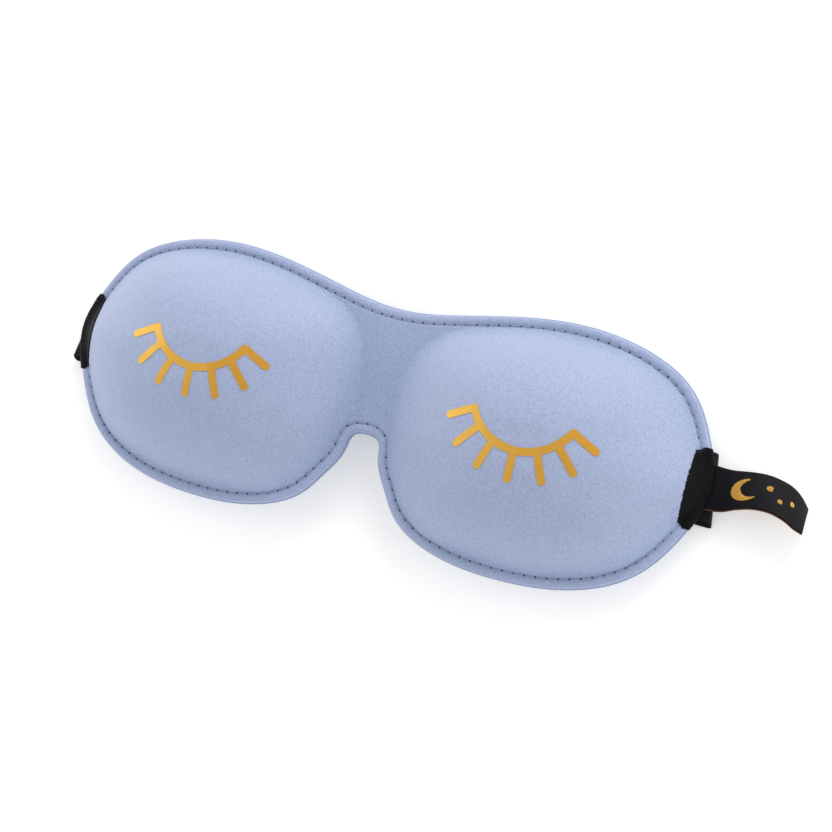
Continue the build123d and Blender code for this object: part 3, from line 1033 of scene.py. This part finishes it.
# %% Seam threads and needle holes
THREAD_RADIUS = 0.17 * MM
stitch = model_stitch(0.93 * STITCH_PITCH, THREAD_RADIUS, 0.34 * MM)
hole = model_hole(0.42 * MM, 0.16 * MM)
front_places = seam_places(cover_tree, 1, 0.5, 0.16 * MM)
back_places = seam_places(lining_tree, -1, 0.5, 0.16 * MM)
seam_thread = copy_to_places("seam_thread", stitch, front_places + back_places)
front_holes = seam_places(cover_tree, 1, 0.0, -0.06 * MM)
back_holes = seam_places(lining_tree, -1, 0.0, 0.10 * MM)
needle_holes = copy_to_places("needle_holes", hole, front_holes + back_holes)
seam_thread.data.materials.append(blue_thread)
needle_holes.data.materials.append(hole_shade)
for piece in (seam_thread, needle_holes):
    blend_over_fold(piece)
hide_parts("edge_stitching_right", "edge_stitching_left")
print("stitches:", len(front_places), "on the front,", len(back_places), "on the back")

# %% [markdown]
# A bar tack is a block of close satin stitches. Each thread starts a little way in from
# the edge, lies over the rim, turns round it and ends under the strap that it holds. A
# thread is a curve through a few points read from the cover, given a round thickness;
# some sixty of them side by side, with slightly uneven starts, make the block.

# %% Bar tacks
TACK_REACH = 7.0 * MM
TACK_PITCH = 0.46 * MM
TACK_RADIUS = 0.27 * MM
half_span = max(p.x for p in rim_path)


def edge_near(y):
    """Where the rim's right end is at a height y, and its slope there."""
    near = sorted((p for p in rim_path if p.x > RIM_END), key=lambda p: abs(p.y - y))[:9]
    inward = rim_inward[rim_tree.find(near[0])[1]]
    return near[0].x, inward.y / inward.x


def tack_thread(y, rng):
    """Points of one thread of the right tack, from the front over the edge to the strap."""
    outside, slope = edge_near(y)
    inner = half_span - TACK_REACH + rng.uniform(-0.12, 0.12) * MM
    rim_back = height_on(lining_tree, outside - 2 * MM, y, False)
    rim_top = height_on(cover_tree, outside - 1.2 * MM, y)

    def on_front(x, above):
        across = y - 1.15 * slope * (outside - x)
        return Vector((x, across, height_on(cover_tree, x, across) + above))

    points = [on_front(inner, -0.5 * MM)]
    for share in (0.06, 0.35, 0.65):
        points.append(on_front(inner + (outside - 1.4 * MM - inner) * share, 0.18 * MM))
    points.append(Vector((outside - 1.2 * MM, y, rim_top + 0.20 * MM)))
    points.append(Vector((outside - 0.25 * MM, y, rim_top - 0.10 * MM)))
    points.append(Vector((outside + 0.50 * MM, y, rim_top - 0.70 * MM)))
    points.append(Vector((outside + 0.86 * MM, y, (rim_top + rim_back) / 2)))
    points.append(Vector((outside + 0.70 * MM, y, rim_back + 0.10 * MM)))
    points.append(Vector((outside - 0.2 * MM, y, rim_back - 0.20 * MM)))
    points.append(Vector((outside - 2.5 * MM, y, rim_back - 0.24 * MM)))
    points.append(Vector((outside - 4.5 * MM, y, rim_back - 0.10 * MM)))
    return points


def threads_to_mesh(name, lines, radius):
    """Round threads along lines of points, as one mesh."""
    data = bpy.data.curves.new(name, "CURVE")
    data.dimensions = "3D"
    data.bevel_depth = radius
    data.bevel_resolution = 1
    data.use_fill_caps = True
    data.resolution_u = 3
    for line in lines:
        spline = data.splines.new("NURBS")
        spline.points.add(len(line) - 1)
        for point, place in zip(spline.points, line):
            point.co = (*place, 1)
        spline.order_u = 3
        spline.use_endpoint_u = True
    piece = bpy.data.objects.new(name, data)
    bpy.context.scene.collection.objects.link(piece)
    make_active(piece)
    bpy.ops.object.convert(target="MESH")
    bpy.ops.object.shade_smooth()
    return bpy.context.object


for side, body, seed in ((1, "right_half", 3), (-1, "left_half", 4)):
    rng = random.Random(seed)
    count = round((tack_high - tack_low) / TACK_PITCH)
    lines = []
    for number in range(count + 1):
        y = tack_low + TACK_PITCH * number + rng.uniform(-0.06, 0.06) * MM
        lines.append([Vector((side * p.x, p.y, p.z)) for p in tack_thread(y, rng)])
    name = "bar_tack_threads_right" if side > 0 else "bar_tack_threads_left"
    tack = threads_to_mesh(name, lines, TACK_RADIUS)
    tack.data.materials.append(black_thread)
    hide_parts("bar_tack_right" if side > 0 else "bar_tack_left")
    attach(tack, body)
    print(name, len(lines), "threads,", len(tack.data.polygons), "faces")

# %% [markdown]
# The strap is flat elastic. Every run of it is a grid that is bent along its route, seen
# from the strap's edge, and then thickened, so that the ribs follow the strap round its
# folds. The route's corners are rounded, and its UV map is the flat strap in metres.

# %% Bending a band along a route
strap_low, strap_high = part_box("strap_middle")
STRAP_THICKNESS = strap_high.z - strap_low.z
STRAP_EDGE = strap_low.y
STRAP_WIDTH = strap_high.y - strap_low.y


def round_route(points, reach, pieces=4):
    """A route with its corners rounded off, as (x, z) places."""
    line = [Vector(points[0])]
    for before, corner, after in zip(points, points[1:], points[2:]):
        before, corner, after = Vector(before), Vector(corner), Vector(after)
        into = (before - corner).normalized() * min(reach, (before - corner).length / 2)
        out = (after - corner).normalized() * min(reach, (after - corner).length / 2)
        for number in range(pieces + 1):
            share = number / pieces
            start, end = corner + into * (1 - share), corner + out * share
            line.append(start.lerp(end, share))
    line.append(Vector(points[-1]))
    return line


def divide_line(line, step):
    """The same line with no run longer than the step."""
    finer = [line[0]]
    for a, b in zip(line, line[1:]):
        count = max(1, math.ceil((b - a).length / step))
        finer += [a.lerp(b, number / count) for number in range(1, count + 1)]
    return [p for n, p in enumerate(finer) if n == 0 or (p - finer[n - 1]).length > 1e-6]


def end_slant(x, y, z):
    """How far the strap's fold at an end of the mask slants across its width."""
    near_end = min(max((abs(x) - 102 * MM) / (14 * MM), 0.0), 1.0)
    near_end = near_end**2 * (3 - 2 * near_end)
    across = (y - STRAP_EDGE) / STRAP_WIDTH
    below = min(max(1 - z / (4 * MM), 0.0), 1.0)
    sideways = -math.copysign(3.6 * MM * across, x) * near_end
    return sideways, -2.2 * MM * near_end * below


def bend_band(name, route, step=2.0 * MM):
    """A strap along a route of (x, z) points in millimetres."""
    line = divide_line(round_route([(x * MM, z * MM) for x, z in route], 0.75 * MM), step)
    columns = 10
    deselect_all()
    bpy.ops.mesh.primitive_grid_add(x_subdivisions=len(line) - 1, y_subdivisions=columns, size=1)
    piece = bpy.context.object
    piece.name = name
    run, runs = 0.0, [0.0]
    for a, b in zip(line, line[1:]):
        run += (b - a).length
        runs.append(run)
    uv = piece.data.uv_layers.active.data
    for loop in piece.data.loops:
        flat = piece.data.vertices[loop.vertex_index].co
        along = round((flat.x + 0.5) * (len(line) - 1))
        uv[loop.index].uv = (runs[along], (flat.y + 0.5) * STRAP_WIDTH)
    for corner in piece.data.vertices:
        along = round((corner.co.x + 0.5) * (len(line) - 1))
        place = line[along]
        y = STRAP_EDGE + (corner.co.y + 0.5) * STRAP_WIDTH
        sideways, drift = end_slant(place.x, y, place.y)
        corner.co = Vector((place.x + sideways, y + drift, place.y))
    thicker = piece.modifiers.new("thickness", "SOLIDIFY")
    thicker.thickness = STRAP_THICKNESS - 0.06 * MM
    thicker.offset = 0.0
    thicker.use_even_offset = False
    soft_edge = piece.modifiers.new("soft_edge", "BEVEL")
    soft_edge.width = 0.28 * MM
    soft_edge.segments = 2
    soft_edge.limit_method = "ANGLE"
    soft_edge.angle_limit = math.radians(60)
    apply_modifiers(piece)
    make_active(piece)
    bpy.ops.object.shade_smooth_by_angle(angle=math.radians(50))
    piece.data.materials.append(strap_elastic)
    return piece


# %% The strap's runs
sewn_z = (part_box("strap_right")[1].z - STRAP_THICKNESS / 2) / MM
left_run = bend_band("strap_left_run", [
    (-104.2, sewn_z), (-117.2, 3.4), (-119.6, 3.4), (-119.6, 0.6), (-36, 0.6), (-36, 2.4), (-86, 2.4),
    (-86, 4.2), (-32, 4.2), (-25, 0.6), (-22, 0.6),
])
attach(left_run, "left_half")
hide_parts("strap_left")

middle_run = bend_band("strap_middle_run", [(-22, 0.6), (22, 0.6)], 1.5 * MM)
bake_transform(middle_run)
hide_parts("strap_middle")

weave_in = bend_band("strap_weave_in", [
    (22, 0.6), (24, 0.6), (28, 2.0), (32.8, 2.0), (36, 7.0), (40, 7.0),
], 1.5 * MM)
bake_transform(weave_in)
weave_out = bend_band("strap_weave_out", [(40, 7.0), (44, 7.0), (47.2, 2.0), (70, 2.0)], 1.5 * MM)
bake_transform(weave_out)
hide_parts("strap_weave")
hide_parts("strap_weave")

ring_turn = bend_band("strap_ring_run", [
    (70, 2.0), (73, 2.0), (81, 4.6), (87.1, 4.6), (87.1, 0.6), (70, 0.6),
])
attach(ring_turn, "right_half")
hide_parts("strap_ring_turn")

return_run = bend_band("strap_return_run", [(70, 0.6), (46.9, 0.6)], 1.5 * MM)
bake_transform(return_run)
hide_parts("strap_return")

slider_loop = bend_band("strap_slider_run", [
    (46.9, 0.6), (44.9, 0.6), (42, 2.0), (37.1, 2.0), (37.1, 5.6), (42.9, 5.6), (42.9, 3.2),
])
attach(slider_loop, "slider")
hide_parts("strap_slider_loop")

right_run = bend_band("strap_right_run", [
    (104.2, sewn_z), (117.2, 3.4), (119.6, 3.4), (119.6, 0.6), (92.9, 0.6), (92.9, 4.6), (98.9, 4.6),
    (101.7, 2.0), (107.2, 2.0),
])
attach(right_run, "right_half")
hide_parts("strap_right")
print("strap runs made; width", round(STRAP_WIDTH / MM, 1), "mm")

# %% [markdown]
# The loop round the ring is closed by two rows of machine stitches across the strap.

# %% Stitches that close the ring's loop
low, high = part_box("ring_loop_stitching")
across = []
for x in (low.x + 0.2 * MM, high.x - 0.2 * MM):
    for number in range(10):
        y = low.y + (high.y - low.y) * (number + 0.5) / 10
        place = Vector((x, y + end_slant(x, y, low.z)[1], high.z))
        across.append(facing(place, Vector((0, 1, 0)), 1))
loop_stitches = copy_to_places("ring_loop_threads", model_stitch(2.0 * MM, 0.2 * MM, 0.3 * MM), across)
loop_stitches.data.materials.append(black_thread)
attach(loop_stitches, "right_half")
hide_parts("ring_loop_stitching")
print("loop stitches:", len(across))

# %% [markdown]
# The tab is a woven satin label, folded double. It comes out from under the bar tack,
# waves once along its length and lifts its lower edge, so that the looser back layer
# shows there. Two edge lines through a few points each set that wave, and the cloth is
# a grid stretched between them.

# %% The tab's wave
tab_top = [
    (113.6, 10.8, 4.9), (117.2, 10.8, 4.8), (122.9, 10.7, 4.6), (129.4, 11.7, 4.0), (135.4, 12.0, 3.2),
    (141.9, 10.6, 2.4), (145.9, 8.1, 2.0), (149.2, 4.4, 1.6),
]
tab_bottom = [
    (112.6, -4.2, 4.9), (117.0, -4.0, 5.5), (122.4, -3.5, 6.4), (127.5, -1.6, 8.1), (132.8, -0.2, 9.6),
    (138.6, 0.0, 10.7), (143.8, -1.3, 11.4), (147.6, -3.1, 12.0), (150.9, -4.2, 12.2),
]


def on_curve(points, share):
    """A place on a smooth line through points, share from 0 to 1."""
    at = share * (len(points) - 1)
    low = min(int(at), len(points) - 2)
    t = at - low
    a, b = Vector(points[max(low - 1, 0)]), Vector(points[low])
    c, d = Vector(points[low + 1]), Vector(points[min(low + 2, len(points) - 1)])
    place = 2 * b + (c - a) * t + (2 * a - 5 * b + 4 * c - d) * t**2 + (3 * b - a - 3 * c + d) * t**3
    return place * 0.5 * MM


def tab_place(along, across):
    """A place on the tab's middle surface: along and across from 0 to 1."""
    top, bottom = on_curve(tab_top, along), on_curve(tab_bottom, along)
    place = bottom.lerp(top, across)
    crown = 0.5 * MM * math.sin(math.pi * across) * along
    return place + Vector((0, 0, crown))


def tab_out(along, across):
    """The way out of the tab's front."""
    step = 0.01
    one = tab_place(min(along + step, 1), across) - tab_place(max(along - step, 0), across)
    other = tab_place(along, min(across + step, 1)) - tab_place(along, max(across - step, 0))
    return one.cross(other).normalized()


TAB_LENGTH, TAB_WIDTH = 40 * MM, 14.5 * MM


def make_tab_layer(name, shift, thickness, grow):
    """One layer of the label, shifted out of its front."""
    deselect_all()
    bpy.ops.mesh.primitive_grid_add(x_subdivisions=40, y_subdivisions=16, size=1)
    piece = bpy.context.object
    piece.name = name
    uv = piece.data.uv_layers.active.data
    for loop in piece.data.loops:
        flat = piece.data.vertices[loop.vertex_index].co
        uv[loop.index].uv = ((flat.x + 0.5) * TAB_LENGTH, (flat.y + 0.5) * TAB_WIDTH)
    for corner in piece.data.vertices:
        along, across = corner.co.x + 0.5, corner.co.y + 0.5
        across = across * (1 + grow) - grow
        corner.co = tab_place(along, across) + tab_out(along, min(max(across, 0), 1)) * shift
    thicker = piece.modifiers.new("thickness", "SOLIDIFY")
    thicker.thickness = thickness
    thicker.offset = 0.0
    smoother = piece.modifiers.new("smooth", "SUBSURF")
    smoother.levels = smoother.render_levels = 1
    apply_modifiers(piece)
    make_active(piece)
    bpy.ops.object.shade_smooth_by_angle(angle=math.radians(50))
    return piece


def bend_with_tab(piece, material):
    """Give the piece its material and bake its placement into its mesh."""
    piece.data.materials.append(material)
    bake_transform(piece)


front_layer = make_tab_layer("tab_front_layer", 0.22 * MM, 0.36 * MM, 0.0)
back_layer = make_tab_layer("tab_back_layer", -0.22 * MM, 0.36 * MM, 0.025)
bend_with_tab(front_layer, tab_front)
bend_with_tab(back_layer, tab_back)
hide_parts("woven_tab")
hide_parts("tab_root")
print("tab:", len(front_layer.data.polygons), "faces a layer")

# %% [markdown]
# The label carries a small plain motif, a crescent moon and three dots, woven in gold
# thread. Weaving builds a shape from short parallel floats of thread, so each shape is
# cut into rows, and every row becomes one thread laid on the tab's surface.

# %% Gold motif
ROW = 0.36 * MM


def chord(centre, radius, x):
    """Where a line across the tab at x crosses a circle, as low and high y."""
    inside = radius**2 - (x - centre[0]) ** 2
    if inside <= 0:
        return None
    half = math.sqrt(inside)
    return centre[1] - half, centre[1] + half


def crescent_rows(centre, radius, bite, bite_radius):
    """Rows that fill a circle with a smaller circle bitten out of it."""
    rows = []
    count = int(2 * radius / ROW)
    for number in range(count):
        x = centre[0] - radius + (number + 0.5) * ROW
        outer = chord(centre, radius, x)
        inner = chord(bite, bite_radius, x) if bite_radius else None
        if inner is None:
            rows.append((x, *outer))
            continue
        rows += [(x, outer[0], max(inner[0], outer[0])), (x, min(inner[1], outer[1]), outer[1])]
    return [row for row in rows if row[2] - row[1] > 0.5 * ROW]


def row_line(row):
    """Points of a thread that lies along a row on the tab, its ends sunk in."""
    x, low, high = row
    line = []
    for number in range(5):
        share = number / 4
        y = low + (high - low) * share
        along, across = x / TAB_LENGTH, y / TAB_WIDTH
        rise = 0.43 * MM + 0.10 * MM * math.sin(math.pi * share)
        line.append(tab_place(along, across) + tab_out(along, across) * rise)
    return line


motif_rows = crescent_rows((16.5 * MM, 7.2 * MM), 4.2 * MM, (18.4 * MM, 7.9 * MM), 3.5 * MM)
for x, y, radius in ((23.5, 9.0, 1.0), (27.2, 5.6, 0.8), (31.5, 7.6, 0.9)):
    motif_rows += crescent_rows((x * MM, y * MM), radius * MM, (0, 0), 0.0)
motif = threads_to_mesh("tab_motif_threads", [row_line(row) for row in motif_rows], 0.19 * MM)
bend_with_tab(motif, gold_thread)
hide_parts("tab_motif")
print("motif:", len(motif_rows), "rows of thread")
